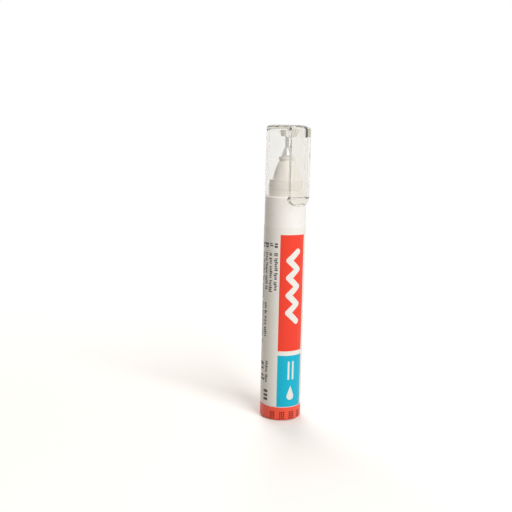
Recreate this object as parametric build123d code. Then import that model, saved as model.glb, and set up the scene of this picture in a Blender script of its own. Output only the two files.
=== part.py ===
from build123d import *
import math
import os

# Correction pen standing on its tail: a squeeze barrel, a sprung needle valve behind a thin
# metal tip, a loose mixing ball and a clear clip cap. All sizes are in millimetres.
# The origin is the centre of the tail's flat end, +Z runs along the pen to the cap,
# and the pocket clip faces -Y.

# Fits and clearances
press_gap = 0.03            # radial gap around a pressed-in piece
running_gap = 0.08          # radial gap around a stem that slides
cap_clearance = 0.15        # radial gap between the cap and the barrel's neck
rim_gap = 0.15              # the cap's rim stands this far off the barrel's shoulder
ball_gap = 0.05             # the mixing ball lies this far off the tail's floor
seat_gap = 0.05             # gap at the closed valve seal

# Tail plug
tail_height = 5.8           # visible part, below the barrel
tail_floor = 2.0
tail_insert_length = 7.0    # part pressed into the barrel
tail_wall = 1.3
tail_edge_radius = 0.9
tail_lead = 0.5             # chamfer on the insert's front edge
tail_groove_depth = 0.3     # moulded ring in the flat end
tail_groove_width = 0.7
tail_groove_diameter = 10.6

# Barrel
barrel_diameter = 17.5      # over the label
barrel_length = 89.0        # from the tail plug to the shoulder under the cap
barrel_wall = 1.15          # under the label
bare_band = 12.1            # bare stretch between the label and the shoulder
shoulder_taper = 0.1        # the bare stretch narrows by this much in radius
shoulder_thickness = 2.5
shoulder_edge_radius = 0.6
neck_height = 5.6
neck_rib_height = 0.1       # grip ribs on the neck stay inside the cap's clearance
neck_rib_width = 0.7
neck_rib_spacing = 1.7
neck_rib_count = 2

# Label wrapped round the barrel
label_thickness = 0.1
label_margin = 0.3          # bare ring between the tail plug and the label
label_seam = 1.0            # gap where the label's ends meet, at the back

# Mixing ball
ball_diameter = 6.5

# Nozzle
gasket_thickness = 0.6      # the gasket lies in a seat of this depth in the neck's end
gasket_width = 0.6
flange_thickness = 1.2
flange_step = 0.3           # the flange is this much smaller in radius than the neck
cone_step = 1.3             # the cone starts this far in from the flange's edge
cone_length = 8.2
cone_end_diameter = 5.4
cone_bulge = 0.45           # how far the cone's side bows out
collar_diameter = 6.4
collar_height = 1.2
nozzle_wall = 1.4           # wall of the insert around the valve chamber
chamber_diameter = 6.2
chamber_rise = 2.6          # the valve chamber ends this far above the neck
front_bore_diameter = 1.8

# Valve
needle_diameter = 0.6
needle_protrusion = 0.7     # how far the needle stands out of the tip, and its travel
needle_grip = 1.6           # length of the needle held in the plunger
plunger_flow_gap = 0.7      # radial gap around the plunger's flange
plunger_flange_thickness = 1.2
plunger_stem_diameter = 2.0
plunger_stem_margin = 0.3   # the stem's end stays this far inside the retainer when pressed
nose_diameter = 2.0
nose_recess = 0.2           # the nose ends this far below the top of its seal
seal_width = 0.9
seal_thickness = 0.8
seat_thickness = 1.5
seat_flow_gap = 0.25        # radial gap around the needle in the valve seat
retainer_thickness = 2.2
retainer_hole_diameter = 1.1
retainer_hole_count = 5
spring_wire = 0.4
spring_length = 8.8
spring_turns = 6
spring_step = 0.25          # the spring stays this far inside the plunger flange's edge

# Metal tip
ferrule_stem_diameter = 3.2
ferrule_stem_length = 4.0
ferrule_land = 0.6          # straight part at the foot of the ferrule's cone
ferrule_base_diameter = 4.4
ferrule_end_diameter = 2.0
ferrule_length = 3.6        # visible part, land and cone
tube_diameter = 1.5
tube_wall = 0.3
tube_length = 5.4           # visible part, beyond the ferrule
tube_edge = 0.15

# Cap
cap_wall = 1.5
cap_top_thickness = 1.5
cap_taper = 0.2             # the cap is this much smaller in radius at the top
cap_top_radius = 1.2        # rounding of the top edge
cap_corner_radius = 0.8     # rounding inside, under the top
rim_edge_radius = 0.3       # rounding of the rim's outer edge
rim_band = 1.3              # height of the band between the rim and its groove
rim_groove_width = 0.3
rim_groove_depth = 0.2
gate_diameter = 2.4         # moulded dimple in the middle of the top
gate_depth = 0.3
tip_seal_diameter = 5.2
tip_seal_floor = 1.2
tip_seal_pocket = 1.6       # depth of the pocket that closes over the tip
tip_seal_clearance = 0.4    # gap around and beyond the tip inside the pocket
tip_seal_overhang = 0.8     # the seal stands out of its boss by this much
boss_wall = 0.9

# Pocket clip, moulded in one with the cap
clip_width = 8.8
clip_thickness = 1.7
clip_gap = 1.55             # slot between the clip and the cap
clip_overhang = 3.7         # the clip reaches this far below the cap's rim
clip_end_radius = 3.4       # rounded corners of the clip's end
clip_root_height = 4.0
clip_top_drop = 0.9         # the clip starts this far below the cap's top
clip_top_radius = 1.4
clip_edge_radius = 0.3
bead_clearance = 0.35       # gap between the clip's bead and the barrel
bead_half_length = 1.6
bead_rise = 2.1             # height of the bead's middle above the clip's end

# Radii that follow from these sizes
barrel_radius = barrel_diameter / 2
wrap_radius = barrel_radius - label_thickness
shoulder_radius = wrap_radius - shoulder_taper
bore_radius = wrap_radius - barrel_wall
cap_bore_radius = barrel_radius - cap_wall
neck_radius = cap_bore_radius - cap_clearance
chamber_radius = chamber_diameter / 2
insert_radius = chamber_radius + nozzle_wall
neck_bore_radius = insert_radius + press_gap
flange_radius = neck_radius - flange_step
needle_radius = needle_diameter / 2
tube_radius = tube_diameter / 2
stem_radius = plunger_stem_diameter / 2
nose_radius = nose_diameter / 2
plunger_radius = chamber_radius - plunger_flow_gap
ball_radius = ball_diameter / 2
tip_seal_radius = tip_seal_diameter / 2

# Heights that follow from these sizes, from the tail up
tail_insert_top = tail_height + tail_insert_length
shoulder_z = tail_height + barrel_length
bore_top = shoulder_z - shoulder_thickness
neck_top = shoulder_z + neck_height
label_bottom = tail_height + label_margin
label_top = shoulder_z - bare_band
gasket_bottom = neck_top - gasket_thickness
flange_top = neck_top + flange_thickness
cone_top = flange_top + cone_length
collar_top = cone_top + collar_height
chamber_top = neck_top + chamber_rise
seat_bottom = chamber_top - seat_thickness
seal_top = seat_bottom - seat_gap
plunger_top = seal_top - seal_thickness
plunger_bottom = plunger_top - plunger_flange_thickness
nose_top = seal_top - nose_recess
retainer_top = plunger_bottom - spring_length
insert_bottom = retainer_top - retainer_thickness
stem_bottom = insert_bottom + needle_protrusion + plunger_stem_margin
ferrule_stem_bottom = collar_top - ferrule_stem_length
ferrule_top = collar_top + ferrule_length
tip_z = ferrule_top + tube_length
needle_end = tip_z + needle_protrusion
cap_bottom = shoulder_z + rim_gap
tip_seal_top = needle_end + tip_seal_clearance + tip_seal_floor
tip_seal_bottom = tip_seal_top - tip_seal_floor - tip_seal_pocket
cap_top = tip_seal_top + cap_top_thickness
clip_bottom = cap_bottom - clip_overhang
clip_top = cap_top - clip_top_drop


def turned(*outline):
    """Solid of revolution about the pen's axis through (radius, height) points."""
    return revolve(Plane.XZ * make_face(Polyline(*outline, close=True)), Axis.Z)


def disc(radius, low, high):
    return turned((0, low), (radius, low), (radius, high), (0, high))


def ring(inner, outer, low, high):
    return turned((inner, low), (outer, low), (outer, high), (inner, high))


def edges_at(solid, radius, height):
    """Circular edges of a turned solid at one radius and height."""
    circles = solid.edges().filter_by(GeomType.CIRCLE)
    tolerance = 1e-4
    return [
        edge
        for edge in circles
        if abs(edge.radius - radius) < tolerance and abs(edge.center().Z - height) < tolerance
    ]


# Tail plug: a red cup, its floor the pen's flat end and its rim pressed into the barrel
def make_tail_plug():
    insert = bore_radius - press_gap
    hollow = insert - tail_wall
    plug = turned(
        (0, 0),
        (barrel_radius, 0),
        (barrel_radius, tail_height),
        (insert, tail_height),
        (insert, tail_insert_top),
        (hollow, tail_insert_top),
        (hollow, tail_floor),
        (0, tail_floor),
    )
    plug = fillet(edges_at(plug, barrel_radius, 0), tail_edge_radius)
    plug = chamfer(edges_at(plug, insert, tail_insert_top), tail_lead)
    groove = tail_groove_diameter / 2
    return plug - ring(groove - tail_groove_width, groove, 0, tail_groove_depth)


# Barrel: a tube that narrows a little above the label, with a shoulder, and a ribbed neck
# whose end is cut back for the gasket
def make_barrel():
    gasket_seat = neck_bore_radius + gasket_width + press_gap
    barrel = turned(
        (bore_radius, tail_height),
        (wrap_radius, tail_height),
        (wrap_radius, label_top),
        (shoulder_radius, shoulder_z),
        (neck_radius, shoulder_z),
        (neck_radius, neck_top),
        (gasket_seat, neck_top),
        (gasket_seat, gasket_bottom),
        (neck_bore_radius, gasket_bottom),
        (neck_bore_radius, bore_top),
        (bore_radius, bore_top),
    )
    barrel = fillet(edges_at(barrel, shoulder_radius, shoulder_z), shoulder_edge_radius)
    for index in range(neck_rib_count):
        middle = shoulder_z + neck_rib_spacing * (index + 1)
        half_width = neck_rib_width / 2
        barrel += turned(
            (neck_bore_radius, middle - half_width),
            (neck_radius, middle - half_width),
            (neck_radius + neck_rib_height, middle),
            (neck_radius, middle + half_width),
            (neck_bore_radius, middle + half_width),
        )
    return barrel


# Label: a thin film round the barrel, open at a narrow seam at the back
def make_wrap_label():
    film = ring(wrap_radius, barrel_radius, label_bottom, label_top)
    height = label_top - label_bottom
    seam = Pos(0, barrel_radius, label_bottom) * Box(
        label_seam, barrel_radius, height, align=(Align.CENTER, Align.CENTER, Align.MIN)
    )
    return film - seam


def make_mixing_ball():
    return Pos(0, 0, tail_floor + ball_gap + ball_radius) * Sphere(ball_radius)


def make_neck_gasket():
    return ring(neck_bore_radius, neck_bore_radius + gasket_width, gasket_bottom, neck_top)


# Nozzle: an insert with the valve chamber, a flange, a bowed cone and a small collar
def make_nozzle():
    cone_base = flange_radius - cone_step
    cone_end = cone_end_diameter / 2
    collar = collar_diameter / 2
    foot = Polyline(
        (0, insert_bottom),
        (insert_radius, insert_bottom),
        (insert_radius, neck_top),
        (flange_radius, neck_top),
        (flange_radius, flange_top),
        (cone_base, flange_top),
    )
    side = SagittaArc((cone_base, flange_top), (cone_end, cone_top), -cone_bulge)
    head = Polyline(
        (cone_end, cone_top),
        (collar, cone_top),
        (collar, collar_top),
        (0, collar_top),
        (0, insert_bottom),
    )
    nozzle = revolve(Plane.XZ * make_face([foot, side, head]), Axis.Z)
    nozzle -= disc(chamber_radius, insert_bottom, chamber_top)
    nozzle -= disc(front_bore_diameter / 2, chamber_top, ferrule_stem_bottom)
    return nozzle - disc(ferrule_stem_diameter / 2 + press_gap, ferrule_stem_bottom, collar_top)


# Spring retainer: a plug in the chamber's mouth that guides the stem and lets the fluid through
def make_spring_retainer():
    outer = chamber_radius - press_gap
    guide = stem_radius + running_gap
    retainer = ring(guide, outer, insert_bottom, retainer_top)
    hole = disc(retainer_hole_diameter / 2, insert_bottom, retainer_top)
    return retainer - PolarLocations((guide + outer) / 2, retainer_hole_count) * hole


def make_valve_seat():
    return ring(needle_radius + seat_flow_gap, chamber_radius - press_gap, seat_bottom, chamber_top)


# Plunger: holds the needle, carries the seal and stands on the spring
def make_needle_plunger():
    plunger = turned(
        (0, stem_bottom),
        (stem_radius, stem_bottom),
        (stem_radius, plunger_bottom),
        (plunger_radius, plunger_bottom),
        (plunger_radius, plunger_top),
        (nose_radius, plunger_top),
        (nose_radius, nose_top),
        (0, nose_top),
    )
    return plunger - disc(needle_radius + press_gap, nose_top - needle_grip, nose_top)


def make_needle_seal():
    inner = nose_radius + press_gap
    return ring(inner, inner + seal_width, plunger_top, seal_top)


# Needle: a thin wire with a round end that stands out of the tip
def make_needle():
    straight_end = needle_end - needle_radius
    wire = disc(needle_radius, nose_top - needle_grip, straight_end)
    return wire + Pos(0, 0, straight_end) * Sphere(needle_radius)


def biarc(start, start_way, end, end_way):
    """Two arcs, smooth where they meet, from a point and direction to another."""
    span = end - start
    ways = start_way + end_way
    turn = 2 * (1 - start_way.dot(end_way))
    along = span.dot(ways)
    reach = (math.sqrt(along * along + turn * span.dot(span)) - along) / turn
    first = start + start_way * reach
    last = end - end_way * reach
    middle = (first + last) * 0.5
    return [
        TangentArc(start, middle, tangent=start_way),
        TangentArc(middle, end, tangent=last - first),
    ]


# Valve spring: an open helix of quarter-turn arc pairs between the retainer and the plunger
def make_valve_spring():
    wire_radius = spring_wire / 2
    coil_radius = plunger_radius - spring_step - wire_radius
    low = retainer_top + wire_radius
    rise = (spring_length - spring_wire) / (2 * math.pi * spring_turns)

    def point(angle):
        return Vector(coil_radius * math.cos(angle), coil_radius * math.sin(angle), low + rise * angle)

    def way(angle):
        return Vector(-coil_radius * math.sin(angle), coil_radius * math.cos(angle), rise).normalized()

    quarter = math.pi / 2
    arcs = []
    for index in range(4 * spring_turns):
        here = index * quarter
        there = here + quarter
        arcs += biarc(point(here), way(here), point(there), way(there))
    section = Plane(origin=point(0), z_dir=way(0)) * Circle(wire_radius)
    spring = sweep(section, path=Wire(arcs))
    print("valve spring: least gap between turns", round(spring_gap(point) - spring_wire, 3), "mm")
    return spring


def spring_gap(point):
    """Least distance between points of the helix that are more than half a turn apart."""
    steps = 36
    points = [point(2 * math.pi * index / steps) for index in range(steps * spring_turns + 1)]
    return min(
        (points[one] - points[other]).length
        for one in range(len(points))
        for other in range(one + steps // 2, len(points))
    )


# Ferrule: a turned metal cone pressed into the nozzle's end
def make_tip_ferrule():
    stem = ferrule_stem_diameter / 2
    base = ferrule_base_diameter / 2
    bore = tube_radius + press_gap
    return turned(
        (bore, ferrule_stem_bottom),
        (stem, ferrule_stem_bottom),
        (stem, collar_top),
        (base, collar_top),
        (base, collar_top + ferrule_land),
        (ferrule_end_diameter / 2, ferrule_top),
        (bore, ferrule_top),
    )


def make_tip_tube():
    tube = ring(tube_radius - tube_wall, tube_radius, ferrule_stem_bottom, tip_z)
    return chamfer(edges_at(tube, tube_radius, tip_z), tube_edge)


# Clip: an arm with a bead inside its rounded end, hung from a root near the cap's top
def make_clip():
    inner = -(barrel_radius + clip_gap)
    outer = inner - clip_thickness
    root = -neck_radius
    root_bottom = clip_top - clip_root_height
    bead_middle = clip_bottom + bead_rise
    bead_crest = -(barrel_radius + bead_clearance)
    back = Polyline(
        (inner, clip_bottom),
        (outer, clip_bottom),
        (outer, clip_top - clip_top_radius),
    )
    crown = RadiusArc(
        (outer, clip_top - clip_top_radius), (outer + clip_top_radius, clip_top), clip_top_radius
    )
    front = Polyline(
        (outer + clip_top_radius, clip_top),
        (root, clip_top),
        (root, root_bottom),
        (inner, root_bottom),
        (inner, bead_middle + bead_half_length),
    )
    bead = ThreePointArc(
        (inner, bead_middle + bead_half_length),
        (bead_crest, bead_middle),
        (inner, bead_middle - bead_half_length),
    )
    foot = Line((inner, bead_middle - bead_half_length), (inner, clip_bottom))
    profile = Plane.YZ * make_face([back, crown, front, bead, foot])
    arm = extrude(profile, clip_width / 2, both=True)
    corners = arm.edges().filter_by(Axis.Y).group_by(Axis.Z)[0]
    arm = fillet(corners, clip_end_radius)
    rim = arm.faces().filter_by(Plane.XZ).sort_by(Axis.Y)[0].edges()
    return fillet(rim, clip_edge_radius)


# Cap: a clear tapered cup with a boss for the tip seal, a grooved rim and the pocket clip
def make_cap():
    top_radius = barrel_radius - cap_taper
    inner_top = tip_seal_top
    body = turned(
        (0, cap_bottom),
        (barrel_radius, cap_bottom),
        (top_radius, cap_top),
        (0, cap_top),
    )
    body = fillet(edges_at(body, top_radius, cap_top), cap_top_radius)
    body = fillet(edges_at(body, barrel_radius, cap_bottom), rim_edge_radius)
    hollow = disc(cap_bore_radius, cap_bottom, inner_top)
    hollow = fillet(edges_at(hollow, cap_bore_radius, inner_top), cap_corner_radius)
    cap = body + make_clip() - hollow
    groove_bottom = cap_bottom + rim_band
    cap -= ring(
        barrel_radius - rim_groove_depth,
        barrel_radius + rim_groove_depth,
        groove_bottom,
        groove_bottom + rim_groove_width,
    )
    cap -= disc(gate_diameter / 2, cap_top - gate_depth, cap_top)
    boss = tip_seal_radius + press_gap
    return cap + ring(boss, boss + boss_wall, tip_seal_bottom + tip_seal_overhang, inner_top)


# Tip seal: a soft plug in the cap whose pocket closes over the metal tip
def make_tip_seal():
    pocket_radius = tube_radius + tip_seal_clearance
    seal = disc(tip_seal_radius, tip_seal_bottom, tip_seal_top)
    return seal - disc(pocket_radius, tip_seal_bottom, tip_seal_bottom + tip_seal_pocket)


makers = {
    "tail_plug": make_tail_plug,
    "barrel": make_barrel,
    "wrap_label": make_wrap_label,
    "mixing_ball": make_mixing_ball,
    "neck_gasket": make_neck_gasket,
    "nozzle": make_nozzle,
    "spring_retainer": make_spring_retainer,
    "valve_spring": make_valve_spring,
    "needle_plunger": make_needle_plunger,
    "needle_seal": make_needle_seal,
    "needle": make_needle,
    "valve_seat": make_valve_seat,
    "tip_ferrule": make_tip_ferrule,
    "tip_tube": make_tip_tube,
    "cap": make_cap,
    "tip_seal": make_tip_seal,
}

os.makedirs("parts", exist_ok=True)
for name, make in makers.items():
    export_step(make(), os.path.join("parts", name + ".step"))
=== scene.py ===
import math
import random

import bpy
from mathutils import Matrix, Vector
from mathutils.geometry import delaunay_2d_cdt


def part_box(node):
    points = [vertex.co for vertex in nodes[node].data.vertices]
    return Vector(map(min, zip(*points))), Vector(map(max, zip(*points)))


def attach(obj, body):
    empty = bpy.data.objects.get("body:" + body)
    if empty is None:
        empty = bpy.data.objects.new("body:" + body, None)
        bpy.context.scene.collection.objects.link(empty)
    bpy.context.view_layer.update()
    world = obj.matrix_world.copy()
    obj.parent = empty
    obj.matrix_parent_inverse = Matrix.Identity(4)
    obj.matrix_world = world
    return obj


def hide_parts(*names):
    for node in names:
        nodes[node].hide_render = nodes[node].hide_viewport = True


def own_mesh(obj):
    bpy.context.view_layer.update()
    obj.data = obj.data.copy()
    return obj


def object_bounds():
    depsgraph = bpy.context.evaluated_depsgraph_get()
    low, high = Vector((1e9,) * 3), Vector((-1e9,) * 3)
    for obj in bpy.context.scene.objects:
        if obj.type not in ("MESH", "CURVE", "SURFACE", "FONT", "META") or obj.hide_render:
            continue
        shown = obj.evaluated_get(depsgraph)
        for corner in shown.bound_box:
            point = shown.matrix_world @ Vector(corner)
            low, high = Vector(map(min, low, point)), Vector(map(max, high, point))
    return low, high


# Finish of a correction pen: a printed label, moulded and turned surfaces, a clear cap and a plain studio.
# Places are in metres, +Z along the pen from the tail to the cap, the pocket clip towards -Y.
# Angles round the pen count from -Y and grow towards +X.

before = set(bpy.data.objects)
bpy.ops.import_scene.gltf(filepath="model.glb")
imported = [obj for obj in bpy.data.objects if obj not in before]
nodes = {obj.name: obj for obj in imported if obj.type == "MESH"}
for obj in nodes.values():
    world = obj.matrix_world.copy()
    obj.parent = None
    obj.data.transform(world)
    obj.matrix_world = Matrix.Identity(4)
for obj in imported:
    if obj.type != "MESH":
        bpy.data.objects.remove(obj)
cad_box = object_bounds()
mm = 0.001

# Camera, found from the pen's edges in the photograph
camera_sensor = 36.0                        # width in millimetres
camera_lens = 50.22                         # focal length in millimetres
camera_near = 0.01                          # what is nearer is not drawn
camera_distance = 299.6 * mm                # from the pen's axis
camera_height = 110.9 * mm                  # above the tail's flat end
camera_round = math.radians(-29.0)          # angle round the pen, away from the clip
camera_pitch = math.radians(7.93)           # downwards
camera_yaw = math.radians(-2.27)            # to the left, because it is negative
camera_roll = math.radians(1.20)

# Colours, each with the one that it drifts to from place to place
tail_red = ((0.93, 0.10, 0.05), (0.89, 0.087, 0.044))
barrel_white = ((0.915, 0.91, 0.888), (0.885, 0.88, 0.858))
nozzle_white = ((0.88, 0.88, 0.865), (0.85, 0.85, 0.835))
valve_cream = ((0.82, 0.81, 0.76), (0.78, 0.77, 0.72))
film_cream = ((0.88, 0.88, 0.84), (0.865, 0.865, 0.825))
# The border's lighter white is partly a painted highlight: the glint along the label's top edge
border_and_glint_white = ((0.93, 0.93, 0.91), (0.92, 0.92, 0.90))
panel_red = ((0.92, 0.063, 0.034), (0.90, 0.058, 0.031))
panel_cyan = ((0.007, 0.50, 0.71), (0.007, 0.485, 0.69))
print_grey = ((0.055, 0.056, 0.058), (0.085, 0.086, 0.088))
dot_red = ((0.15, 0.008, 0.009), (0.21, 0.013, 0.012))
tip_steel = ((0.55, 0.545, 0.53), (0.47, 0.465, 0.45))
wire_steel = ((0.64, 0.64, 0.65), (0.52, 0.52, 0.53))
ball_steel = ((0.75, 0.75, 0.76), (0.69, 0.69, 0.70))
gasket_grey = ((0.40, 0.40, 0.39), (0.35, 0.35, 0.34))
seal_black = ((0.03, 0.03, 0.03), (0.045, 0.045, 0.045))
seal_white = ((0.82, 0.82, 0.79), (0.78, 0.78, 0.75))

# Clear cap
cap_color = (0.985, 0.982, 0.972)
cap_depth_color = (0.90, 0.887, 0.855)      # tint of light that has gone through the wall
cap_density = 240.0                         # strength of that tint, per metre
cap_pane_color = (0.98, 0.98, 0.975)        # for light that passes straight

# Scuffs on the tail
scuff_color = (0.86, 0.25, 0.19)
scuff_heights = (0.1 * mm, 1.2 * mm)        # they fade out between these, above the table
scuff_noise = (0.52, 0.68)                  # they start and are full at these values of the noise
scuff_strength = 0.7

# Noise and wave textures
even = (1.0, 1.0, 1.0)                      # stretch of a grain that is alike along all axes
noise_spread = (0.3, 0.7)                   # most values of the noise lie between these
wave_rate = 20.0                            # radians of the wave texture in a unit of length

# Label print, in millimetres on the unrolled label: across goes round the pen, up goes along it
label_thickness = 0.1
label_seam = 1.0                            # gap where the label's ends meet, at the back
label_columns = 120                         # flat strips that follow the round
label_glint_border = 0.5                          # bare glossy film along the label's top edge, painted lighter as a highlight of the edge's glint
label_weld = 1e-5                           # points nearer than this become one
panel_width = 11.75
panel_middle = -0.2                         # from the clip's middle
red_bottom = 30.3
red_top = 79.3
cyan_top = 28.4
stroke_bottom = 43.1                        # ends of the white stroke's middle line
stroke_top = 72.4
stroke_swing = 1.95                         # the white stroke goes this far to both sides
stroke_legs = 8
stroke_radius = 1.25
stroke_steps = 10                           # straight bits in a stroke's round end
drop_middle = 10.7
drop_radius = 1.6
drop_tip = 15.3
drop_steps = 28
line_bottom = 18.3
line_top = 25.5
line_offsets = (-1.0, 1.0)
line_radius = 0.4
print_seed = 7
print_pitch = 2.45                          # from one line of small print to the next
print_ragged = 0.25                         # a line may stop short of its area's bottom by this share of it
print_gap = 0.25                            # between the blocks of a word, as a share of their height
word_gap = 0.9                              # between words, as a share of their height
word_blocks = (2, 8)                        # least and most blocks in a usual word
block_lengths = (0.35, 0.7)                 # shortest and longest block, as shares of its height
block_reach = (0.0, 0.0, 0.35)              # a block stands out of its line by one of these shares

# Small print: first line's middle, count of lines, top, bottom, height, least and most blocks in a word
print_areas = (
    (-7.8, 4, 75.7, 75.0, 1.35, (2, 2)),    # a bold short word above each line of the next area
    (-7.8, 4, 71.6, 54.8, 1.0, word_blocks),
    (-12.8, 1, 50.3, 31.3, 1.1, word_blocks),
    (-15.2, 2, 50.3, 31.3, 0.75, word_blocks),
    (-11.5, 1, 25.3, 15.3, 0.95, word_blocks),
    (-14.6, 1, 24.5, 17.0, 2.4, (2, 2)),    # bold
    (-11.7, 1, 12.8, 12.0, 2.4, (3, 3)),    # bold
    (24.5, 6, 75.7, 34.3, 0.75, word_blocks),
    (24.5, 5, 28.3, 10.3, 0.75, word_blocks),
)

# Ink dots on the tail plug, in millimetres
dot_radius = 0.32
dot_sides = 10
dot_pitch = 0.8
dot_rows = 4
dot_columns = 3                             # in a group
dot_groups = 4
dot_group_gap = 2.6
dots_bottom = 1.25
dots_middle = -1.6                          # from the clip's middle, round the plug
dot_thickness = 0.02

# Valve spring
spring_wire = 0.4 * mm
spring_turns = 6
spring_steps = 40                           # rings of the tube in a turn
spring_sides = 12

# Studio
white = (1.0, 1.0, 1.0)
floor_radius = 4.0
floor_sides = 96
floor_fade = (0.06, 0.32)                   # the floor turns to plain white between these distances
floor_color = (0.9, 0.9, 0.895)
floor_bounce_color = (0.32, 0.31, 0.30)     # for rays that light the pen, so that the floor lights it little
ambient = 0.43
ambient_color = (1.0, 0.88, 0.76)

# Lamps: angle round the pen, height, distance, size, watts, and whether gloss mirrors them
lamps = {
    "key": (math.radians(8.0), 0.6, 0.72, 0.5, 6.8, True),
    "back": (math.radians(165.0), 0.55, 0.75, 0.6, 5.5, False),
}


# Shader nodes

def opaque(color):
    """A colour with the fourth number that shader sockets take."""
    return (*color, 1.0)


def add_node(tree, kind, inputs=None, **settings):
    """New shader node with its properties and input values set."""
    node = tree.nodes.new(kind)
    for name, value in settings.items():
        setattr(node, name, value)
    for name, value in (inputs or {}).items():
        node.inputs[name].default_value = value
    return node


def object_place(tree):
    """Place on the piece, in metres."""
    return add_node(tree, "ShaderNodeTexCoord").outputs["Object"]


def combine(tree, operation, first, second):
    """Sum, difference or product of two outputs, kept between 0 and 1."""
    node = add_node(tree, "ShaderNodeMath", operation=operation, use_clamp=True)
    tree.links.new(first, node.inputs[0])
    tree.links.new(second, node.inputs[1])
    return node.outputs["Value"]


def mix_colors(tree, share, first, second):
    """Node that goes from the first colour to the second as the share goes from 0 to 1."""
    mix = add_node(tree, "ShaderNodeMix", {"A": opaque(first), "B": opaque(second)}, data_type="RGBA")
    tree.links.new(share, mix.inputs["Factor"])
    return mix


def mix_shaders(tree, share, first, second):
    """Shader that goes from the first to the second as the share goes from 0 to 1."""
    mix = add_node(tree, "ShaderNodeMixShader")
    tree.links.new(share, mix.inputs["Fac"])
    tree.links.new(first, mix.inputs[1])
    tree.links.new(second, mix.inputs[2])
    return mix.outputs["Shader"]


def new_material(name, color, roughness, **sockets):
    """Material with one principled shader; sockets give further inputs, underscores for spaces."""
    material = bpy.data.materials.new(name)
    material.use_nodes = True
    shader_input(material, "Base Color").default_value = opaque(color)
    shader_input(material, "Roughness").default_value = roughness
    for socket, value in sockets.items():
        shader_input(material, socket.replace("_", " ")).default_value = value
    return material


def shader_input(material, socket):
    """Input of the material's principled shader."""
    return material.node_tree.nodes["Principled BSDF"].inputs[socket]


def remap(material, value, low, high, source=noise_spread, **settings):
    """Spreads the values between the two of source over low to high."""
    tree = material.node_tree
    limits = {"From Min": source[0], "From Max": source[1], "To Min": low, "To Max": high}
    spread = add_node(tree, "ShaderNodeMapRange", limits, **settings)
    tree.links.new(value, spread.inputs["Value"])
    return spread.outputs["Result"]


def grain(material, size, stretch=even, detail=3.0):
    """Noise whose features are about size metres, longer along an axis by its stretch."""
    tree = material.node_tree
    scale = add_node(tree, "ShaderNodeMapping", {"Scale": [1.0 / (size * share) for share in stretch]})
    noise = add_node(tree, "ShaderNodeTexNoise", {"Scale": 1.0, "Detail": detail})
    tree.links.new(object_place(tree), scale.inputs["Vector"])
    tree.links.new(scale.outputs["Vector"], noise.inputs["Vector"])
    return noise.outputs["Fac"]


def rings(material, pitch):
    """Fine rings round the pen's axis, as a lathe leaves them."""
    tree = material.node_tree
    shape = {"Scale": math.tau / (wave_rate * pitch), "Distortion": 1.5, "Detail": 2.0}
    wave = add_node(tree, "ShaderNodeTexWave", shape, bands_direction="Z")
    tree.links.new(object_place(tree), wave.inputs["Vector"])
    return wave.outputs["Fac"]


def vary_color(material, colors, size, stretch=even):
    """Lets the colour drift from the first to the second."""
    tree = material.node_tree
    share = remap(material, grain(material, size, stretch), low=0.0, high=1.0)
    mix = mix_colors(tree, share, *colors)
    tree.links.new(mix.outputs["Result"], shader_input(material, "Base Color"))


def vary_roughness(material, low, high, size, stretch=even):
    """Lets the gloss drift from place to place."""
    rough = remap(material, grain(material, size, stretch), low, high)
    material.node_tree.links.new(rough, shader_input(material, "Roughness"))


def add_bump(material, height, depth):
    """Raises the surface by height times depth metres, on top of any bump that is there already."""
    tree = material.node_tree
    normal = shader_input(material, "Normal")
    bump = add_node(tree, "ShaderNodeBump", {"Strength": 1.0, "Distance": depth})
    tree.links.new(height, bump.inputs["Height"])
    if normal.is_linked:
        tree.links.new(normal.links[0].from_socket, bump.inputs["Normal"])
    tree.links.new(bump.outputs["Normal"], normal)


# Materials

def moulded(name, colors, roughness, **sockets):
    """Satin moulded plastic: faint mottle, uneven gloss and a fine spark-eroded skin."""
    material = new_material(name, colors[0], roughness, **sockets)
    vary_color(material, colors, size=2.5 * mm)
    vary_roughness(material, low=roughness - 0.07, high=roughness + 0.07, size=0.9 * mm)
    add_bump(material, grain(material, size=0.16 * mm), depth=0.004 * mm)
    add_bump(material, grain(material, size=3.0 * mm, stretch=(1.0, 1.0, 4.0)), depth=0.02 * mm)
    return material


def barrel_plastic():
    """White plastic that lets a little light in."""
    return moulded(
        "barrel_white",
        barrel_white,
        roughness=0.42,
        Subsurface_Weight=0.2,
        Subsurface_Radius=(1.0, 0.9, 0.8),
        Subsurface_Scale=0.7 * mm,
    )


def tail_plastic():
    """Red plastic, scuffed paler where the tail stands on the table."""
    material = moulded("tail_red", tail_red, roughness=0.38)
    tree = material.node_tree
    axes = add_node(tree, "ShaderNodeSeparateXYZ")
    tree.links.new(object_place(tree), axes.inputs["Vector"])
    edge = remap(material, axes.outputs["Z"], low=1.0, high=0.0, source=scuff_heights)
    specks = grain(material, size=0.5 * mm, stretch=(2.0, 2.0, 1.0), detail=6.0)
    scuffs = remap(material, specks, low=0.0, high=scuff_strength, source=scuff_noise)
    worn = mix_colors(tree, combine(tree, "MULTIPLY", edge, scuffs), tail_red[0], scuff_color)
    color = shader_input(material, "Base Color")
    tree.links.new(color.links[0].from_socket, worn.inputs["A"])
    tree.links.new(worn.outputs["Result"], color)
    return material


def label_ink(name, colors, roughness=0.3):
    """Glossy film or ink on it: faint print mottle and the slight waviness of a wrapped film."""
    material = new_material(name, colors[0], roughness, Specular_IOR_Level=0.25)
    vary_color(material, colors, size=0.7 * mm)
    vary_roughness(material, low=roughness - 0.05, high=roughness + 0.06, size=1.4 * mm)
    add_bump(material, grain(material, size=5.0 * mm, stretch=(1.0, 1.0, 3.0)), depth=0.03 * mm)
    add_bump(material, grain(material, size=0.25 * mm), depth=0.0007 * mm)
    return material


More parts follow.
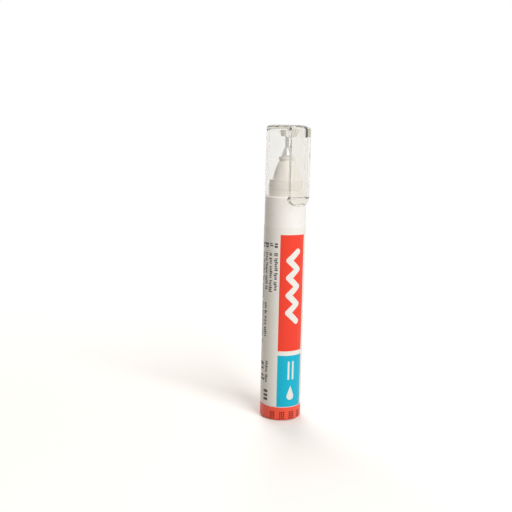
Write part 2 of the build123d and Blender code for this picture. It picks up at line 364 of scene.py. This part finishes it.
def clear_plastic():
    """Clear cap, a little hazy and cream in its depth: uneven gloss, flow waves and fine scratches.
    Light on its way to a matt surface passes it straight, as through a pane, and so counts once."""
    material = new_material("cap_clear", cap_color, roughness=0.01, Transmission_Weight=0.965, IOR=1.49)
    vary_roughness(material, low=0.0, high=0.02, size=2.0 * mm, stretch=(1.0, 1.0, 3.0))
    add_bump(material, grain(material, size=9.0 * mm), depth=0.006 * mm)
    add_bump(material, grain(material, size=0.12 * mm, stretch=(1.0, 1.0, 25.0)), depth=0.0002 * mm)
    tree = material.node_tree
    output = tree.nodes["Material Output"]
    tint = {"Color": opaque(cap_depth_color), "Density": cap_density}
    depth = add_node(tree, "ShaderNodeVolumeAbsorption", tint)
    tree.links.new(depth.outputs["Volume"], output.inputs["Volume"])
    pane = add_node(tree, "ShaderNodeBsdfTransparent", {"Color": opaque(cap_pane_color)})
    path = add_node(tree, "ShaderNodeLightPath")
    surface = tree.nodes["Principled BSDF"].outputs["BSDF"]
    for kind in ("Is Diffuse Ray", "Is Shadow Ray"):
        surface = mix_shaders(tree, path.outputs[kind], surface, pane.outputs["BSDF"])
    tree.links.new(surface, output.inputs["Surface"])
    return material


def turned_metal(name, colors, pitch):
    """Metal from a lathe, with rings round the pen's axis."""
    material = new_material(name, colors[0], roughness=0.28, Metallic=1.0, Anisotropic=0.4)
    vary_color(material, colors, size=0.4 * mm, stretch=(3.0, 3.0, 1.0))
    vary_roughness(material, low=0.2, high=0.36, size=0.15 * mm, stretch=(4.0, 4.0, 1.0))
    add_bump(material, rings(material, pitch), depth=0.002 * mm)
    return material


def drawn_wire():
    """Steel wire with the fine grain of drawing."""
    material = new_material("spring_steel", wire_steel[0], roughness=0.3, Metallic=1.0)
    vary_color(material, wire_steel, size=0.25 * mm)
    vary_roughness(material, low=0.22, high=0.42, size=0.1 * mm)
    add_bump(material, grain(material, size=0.05 * mm), depth=0.001 * mm)
    return material


def polished_ball():
    """Polished steel, dulled a little in places."""
    material = new_material("polished_steel", ball_steel[0], roughness=0.12, Metallic=1.0)
    vary_color(material, ball_steel, size=1.2 * mm)
    vary_roughness(material, low=0.06, high=0.2, size=0.5 * mm)
    add_bump(material, grain(material, size=0.08 * mm), depth=0.0005 * mm)
    return material


def soft_rubber(name, colors, roughness):
    """Soft matt rubber with a fine skin."""
    material = new_material(name, colors[0], roughness, Specular_IOR_Level=0.35)
    vary_color(material, colors, size=0.8 * mm)
    vary_roughness(material, low=roughness - 0.08, high=roughness + 0.08, size=0.4 * mm)
    add_bump(material, grain(material, size=0.1 * mm), depth=0.003 * mm)
    return material


# Pieces

def place_piece(name, mesh, node=None):
    """Adds a mesh that rides on the pen's body, and stands for a CAD node where one is given."""
    piece = bpy.data.objects.new(name, mesh)
    bpy.context.scene.collection.objects.link(piece)
    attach(piece, "pen_body")
    if node:
        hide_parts(node)
    return piece


def dress(material, *names):
    """Gives CAD nodes their finish."""
    for name in names:
        nodes[name].data.materials.clear()
        nodes[name].data.materials.append(material)


# Outlines on the unrolled label

def rectangle(left, right, low, high):
    """Corners of an upright rectangle."""
    return [(left, low), (right, low), (right, high), (left, high)]


def arc(middle, radius, start, end, steps=stroke_steps):
    """Points on a circle from one angle to another, in degrees."""
    angles = [math.radians(start + (end - start) * step / steps) for step in range(steps + 1)]
    return [(middle[0] + radius * math.cos(a), middle[1] + radius * math.sin(a)) for a in angles]


def brush_stroke(start, end, radius):
    """A straight stroke with round ends."""
    way = math.degrees(math.atan2(end[1] - start[1], end[0] - start[0]))
    return arc(end, radius, way - 90, way + 90) + arc(start, radius, way + 90, way + 270)


def zigzag():
    """The strokes of the white zigzag on the red panel."""
    rise = (stroke_top - stroke_bottom) / stroke_legs
    turns = [(stroke_swing * (-1) ** leg, stroke_bottom + rise * leg) for leg in range(stroke_legs + 1)]
    return [brush_stroke(turns[leg], turns[leg + 1], stroke_radius) for leg in range(stroke_legs)]


def drop():
    """A plain drop with its tip upwards."""
    lean = math.degrees(math.acos(drop_radius / (drop_tip - drop_middle)))
    round_end = arc((0.0, drop_middle), drop_radius, 90 + lean, 450 - lean, drop_steps)
    return round_end + [(0.0, drop_tip)]


def word(rng, middle, top, height, counts):
    """Small blocks in a row down the label, some of them a little taller to one side."""
    blocks = []
    high = top
    for _ in range(rng.randint(*counts)):
        low = high - height * rng.uniform(*block_lengths)
        left = middle - height * (0.5 + rng.choice(block_reach))
        right = middle + height * (0.5 + rng.choice(block_reach))
        blocks.append(rectangle(left, right, low, high))
        high = low - height * print_gap
    return blocks


def small_print():
    """Words of plain blocks in the place of small print, in lines that run down the label."""
    rng = random.Random(print_seed)
    blocks = []
    for first, count, top, bottom, height, counts in print_areas:
        for line in range(count):
            middle = first - print_pitch * line
            end = bottom + rng.uniform(0.0, print_ragged) * (top - bottom)
            high = top
            while high > end:
                blocks += word(rng, middle, high, height, counts)
                high = blocks[-1][0][1] - height * word_gap
    return blocks


def on_panel(outline):
    """Moves an outline to the panels' middle."""
    return [(across + panel_middle, up) for across, up in outline]


def print_shapes(edge, low, high):
    """Outlines on the unrolled label with their inks, in printing order."""
    half = panel_width / 2
    # The top border is bare film, painted lighter as a highlight along the edge
    shapes = [(rectangle(-edge, edge, low, high), "border_glint")]
    shapes.append((rectangle(-edge, edge, low, high - label_glint_border), "film"))
    shapes.append((on_panel(rectangle(-half, half, red_bottom, red_top)), "red"))
    shapes.append((on_panel(rectangle(-half, half, low, cyan_top)), "cyan"))
    for outline in zigzag():
        shapes.append((on_panel(outline), "film"))
    shapes.append((on_panel(drop()), "film"))
    for offset in line_offsets:
        line = brush_stroke((offset, line_bottom), (offset, line_top), line_radius)
        shapes.append((on_panel(line), "film"))
    for block in small_print():
        shapes.append((block, "grey"))
    return shapes


# Printed label

def cut_sheet(shapes, edge, low, high):
    """Points and triangles of the unrolled label, and the ink of each triangle."""
    points = []
    faces = []
    edges = []
    for outline, _ in shapes:
        faces.append(range(len(points), len(points) + len(outline)))
        points += outline
    for column in range(1, label_columns):
        across = edge * (2 * column / label_columns - 1)
        edges.append((len(points), len(points) + 1))
        points += [(across, low), (across, high)]
    flat = [Vector(point) for point in points]
    inside_outlines = 1
    cut = delaunay_2d_cdt(flat, edges, faces, inside_outlines, label_weld)
    corners, _, triangles, _, _, owners = cut
    inks = [shapes[max(owner)][1] for owner in owners]
    return corners, triangles, inks


def film_faces(triangles, count):
    """Faces of a closed film with count corners a side: its outer side, its inner side and its rim."""
    outside = [tuple(triangle) for triangle in triangles]
    inside = [tuple(count + corner for corner in reversed(face)) for face in outside]
    sides = {(a, b) for face in outside for a, b in zip(face, face[1:] + face[:1])}
    rim = [(b, a, a + count, b + count) for a, b in sorted(sides) if (b, a) not in sides]
    return outside, inside, rim


def film_normals(mesh, ways, count):
    """Normals straight out on the first count faces, straight in on as many more, and flat on the rim."""
    normals = []
    for polygon in mesh.polygons:
        facing = 1.0 if polygon.index < count else -1.0
        on_rim = polygon.index >= 2 * count
        for corner in polygon.vertices:
            way = Vector((*ways[corner % len(ways)], 0.0))
            normals.append(polygon.normal if on_rim else way * facing)
    return normals


def make_label(inks):
    """Closed film round the barrel in the place of the CAD label, its print cut into its outer face."""
    low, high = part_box("wrap_label")
    outer = high.x
    inner = outer - label_thickness * mm
    edge = (math.pi - math.asin(label_seam * mm / 2 / outer)) * outer / mm
    shapes = print_shapes(edge, low.z / mm, high.z / mm)
    corners, triangles, printed = cut_sheet(shapes, edge, low.z / mm, high.z / mm)
    ways = [(math.sin(c.x * mm / outer), -math.cos(c.x * mm / outer)) for c in corners]
    points = []
    for radius in (outer, inner):
        points += [(x * radius, y * radius, c.y * mm) for (x, y), c in zip(ways, corners)]
    outside, inside, rim = film_faces(triangles, len(corners))
    mesh = bpy.data.meshes.new("printed_label")
    mesh.from_pydata(points, [], outside + inside + rim)
    for ink in inks.values():
        mesh.materials.append(ink)
    order = list(inks)
    for polygon, ink in zip(mesh.polygons, printed):
        polygon.material_index = order.index(ink)
    mesh.shade_smooth()
    mesh.normals_split_custom_set(film_normals(mesh, ways, len(outside)))
    place_piece("printed_label", mesh, "wrap_label")


# Ink dots

def dot_places():
    """Middles of the dots on the unrolled side of the tail plug."""
    group_width = dot_pitch * (dot_columns - 1) + dot_group_gap
    first = dots_middle - (group_width * dot_groups - dot_group_gap) / 2
    places = []
    for group in range(dot_groups):
        for column in range(dot_columns):
            across = first + group_width * group + dot_pitch * column
            places += [(across, dots_bottom + dot_pitch * row) for row in range(dot_rows)]
    return places


def make_ink_dots(ink):
    """Groups of plain dots of dark ink round the tail plug's side."""
    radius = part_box("tail_plug")[1].x
    points = []
    faces = []
    for middle in dot_places():
        foot = list(range(len(points), len(points) + dot_sides))
        head = [corner + dot_sides for corner in foot]
        faces += [head, foot[::-1]]
        faces += [(foot[i - 1], foot[i], head[i], head[i - 1]) for i in range(dot_sides)]
        outline = arc(middle, dot_radius, 0, 360 - 360 / dot_sides, dot_sides - 1)
        for reach in (radius, radius + dot_thickness * mm):
            for across, up in outline:
                angle = across * mm / radius
                points.append((reach * math.sin(angle), -reach * math.cos(angle), up * mm))
    mesh = bpy.data.meshes.new("tail_ink_dots")
    mesh.from_pydata(points, [], faces)
    mesh.materials.append(ink)
    place_piece("tail_ink_dots", mesh)


# Valve spring

def spring_points(low, high):
    """Corners of the rings along the coil, from its lower end to its upper one."""
    wire_radius = spring_wire / 2
    coil_radius = high.x - wire_radius
    rise = (high.z - low.z - spring_wire) / spring_turns
    slope = rise / (math.tau * coil_radius)
    points = []
    for step in range(spring_turns * spring_steps + 1):
        turn = step / spring_steps
        angle = math.tau * turn
        outwards = Vector((math.cos(angle), math.sin(angle), 0.0))
        along = Vector((-math.sin(angle), math.cos(angle), slope)).normalized()
        upwards = along.cross(outwards)
        middle = outwards * coil_radius + Vector((0.0, 0.0, low.z + wire_radius + rise * turn))
        for side in range(spring_sides):
            lean = math.tau * side / spring_sides
            sideways = outwards * (wire_radius * math.cos(lean))
            points.append(middle + sideways + upwards * (wire_radius * math.sin(lean)))
    return points


def tube_faces(count, sides):
    """Faces of a closed tube through count rings of so many sides."""
    faces = []
    for ring in range(count - 1):
        for side in range(sides):
            here = ring * sides + side
            beside = ring * sides + (side + 1) % sides
            faces.append((here, beside, beside + sides, here + sides))
    faces.append(tuple(reversed(range(sides))))
    faces.append(tuple(range((count - 1) * sides, count * sides)))
    return faces


def make_spring(material):
    """The valve's coil as a closed tube, in the place of the CAD spring."""
    low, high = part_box("valve_spring")
    points = spring_points(low, high)
    mesh = bpy.data.meshes.new("coil_spring")
    mesh.from_pydata(points, [], tube_faces(len(points) // spring_sides, spring_sides))
    mesh.materials.append(material)
    mesh.shade_smooth()
    spring = place_piece("coil_spring", mesh, "valve_spring")
    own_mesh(spring)


# Studio

def seen_share(tree):
    """1 for rays that show the background, straight or in gloss and clear plastic, else 0.
    A ray that has left a matt surface lights it, also when it goes through the clear cap."""
    path = add_node(tree, "ShaderNodeLightPath").outputs
    seen = path["Is Camera Ray"]
    for kind in ("Is Glossy Ray", "Is Transmission Ray"):
        seen = combine(tree, "ADD", seen, path[kind])
    return combine(tree, "SUBTRACT", seen, path["Diffuse Depth"])


def make_world():
    """Soft warm light from all round, where the eye sees plain white."""
    world = bpy.data.worlds.new("studio")
    world.use_nodes = True
    tree = world.node_tree
    tree.nodes.clear()
    soft = add_node(tree, "ShaderNodeBackground", {"Color": opaque(ambient_color), "Strength": ambient})
    plain = add_node(tree, "ShaderNodeBackground", {"Color": opaque(white), "Strength": 1.0})
    output = add_node(tree, "ShaderNodeOutputWorld")
    sky = mix_shaders(tree, seen_share(tree), soft.outputs["Background"], plain.outputs["Background"])
    tree.links.new(sky, output.inputs["Surface"])
    bpy.context.scene.world = world


def floor_paper():
    """Pale paper near the pen, with its shadow, that turns to the background's white further out."""
    material = new_material("floor_paper", floor_color, roughness=0.7, Specular_IOR_Level=0.1)
    tree = material.node_tree
    seen = seen_share(tree)
    paper = mix_colors(tree, seen, floor_bounce_color, floor_color)
    tree.links.new(paper.outputs["Result"], shader_input(material, "Base Color"))
    reach = add_node(tree, "ShaderNodeVectorMath", operation="LENGTH")
    tree.links.new(object_place(tree), reach.inputs[0])
    far = remap(material, reach.outputs["Value"], 0.0, 1.0, floor_fade, interpolation_type="SMOOTHSTEP")
    share = combine(tree, "MULTIPLY", seen, far)
    plain = add_node(tree, "ShaderNodeEmission", {"Color": opaque(white), "Strength": 1.0})
    near = tree.nodes["Principled BSDF"].outputs["BSDF"]
    surface = mix_shaders(tree, share, near, plain.outputs["Emission"])
    tree.links.new(surface, tree.nodes["Material Output"].inputs["Surface"])
    return material


def make_floor():
    """A wide round sheet that the pen stands on."""
    turns = [math.tau * side / floor_sides for side in range(floor_sides)]
    rim = [(floor_radius * math.cos(turn), floor_radius * math.sin(turn), 0.0) for turn in turns]
    mesh = bpy.data.meshes.new("floor")
    mesh.from_pydata(rim, [], [tuple(range(floor_sides))])
    mesh.materials.append(floor_paper())
    floor = bpy.data.objects.new("floor", mesh)
    bpy.context.scene.collection.objects.link(floor)
    floor.location.z = cad_box[0].z


def add_lamp(name, round_angle, height, distance, size, power, mirrored):
    """Square soft light at an angle round the pen, aimed at its middle and not seen through the cap."""
    lamp = bpy.data.lights.new(name, "AREA")
    lamp.energy = power
    lamp.size = size
    place = Vector((distance * math.sin(round_angle), -distance * math.cos(round_angle), height))
    target = (cad_box[0] + cad_box[1]) / 2
    holder = bpy.data.objects.new(name, lamp)
    holder.location = place
    holder.rotation_euler = (target - place).to_track_quat("-Z", "Y").to_euler()
    holder.visible_transmission = False
    holder.visible_glossy = mirrored
    bpy.context.scene.collection.objects.link(holder)


def make_camera():
    """Camera at the photograph's place, aim and lens."""
    data = bpy.data.cameras.new("camera")
    data.sensor_width = camera_sensor
    data.lens = camera_lens
    data.clip_start = camera_near
    camera = bpy.data.objects.new("camera", data)
    stand = Matrix.Rotation(camera_round, 4, "Z") @ Matrix.Translation((0, -camera_distance, camera_height))
    aim = Matrix.Rotation(-camera_yaw, 4, "Z") @ Matrix.Rotation(math.pi / 2 - camera_pitch, 4, "X")
    camera.matrix_world = stand @ aim @ Matrix.Rotation(camera_roll, 4, "Z")
    bpy.context.scene.collection.objects.link(camera)
    bpy.context.scene.camera = camera


# The pen
steel_wire = drawn_wire()
valve_plastic = moulded("valve_plastic", valve_cream, roughness=0.45)
dress(tail_plastic(), "tail_plug")
dress(barrel_plastic(), "barrel")
dress(moulded("nozzle_white", nozzle_white, roughness=0.48), "nozzle")
dress(valve_plastic, "spring_retainer", "needle_plunger", "valve_seat")
dress(clear_plastic(), "cap")
dress(turned_metal("tip_metal", tip_steel, pitch=0.06 * mm), "tip_ferrule", "tip_tube")
dress(steel_wire, "needle")
dress(polished_ball(), "mixing_ball")
dress(soft_rubber("gasket_grey", gasket_grey, roughness=0.6), "neck_gasket")
dress(soft_rubber("seal_rubber", seal_black, roughness=0.55), "needle_seal")
dress(soft_rubber("tip_seal_soft", seal_white, roughness=0.5), "tip_seal")
label_inks = {
    "film": label_ink("label_film", film_cream),
    # The border's ink is painted lighter as a highlight of the glint on the label's top edge
    "border_glint": label_ink("label_glint_border", border_and_glint_white, roughness=0.22),
    "red": label_ink("label_red", panel_red),
    "cyan": label_ink("label_cyan", panel_cyan),
    "grey": label_ink("label_grey", print_grey),
}
make_label(label_inks)
make_ink_dots(label_ink("tail_ink", dot_red, roughness=0.45))
make_spring(steel_wire)

# The studio
make_world()
make_floor()
for name, values in lamps.items():
    add_lamp(name, *values)
make_camera()
bpy.context.scene.view_settings.view_transform = "Standard"
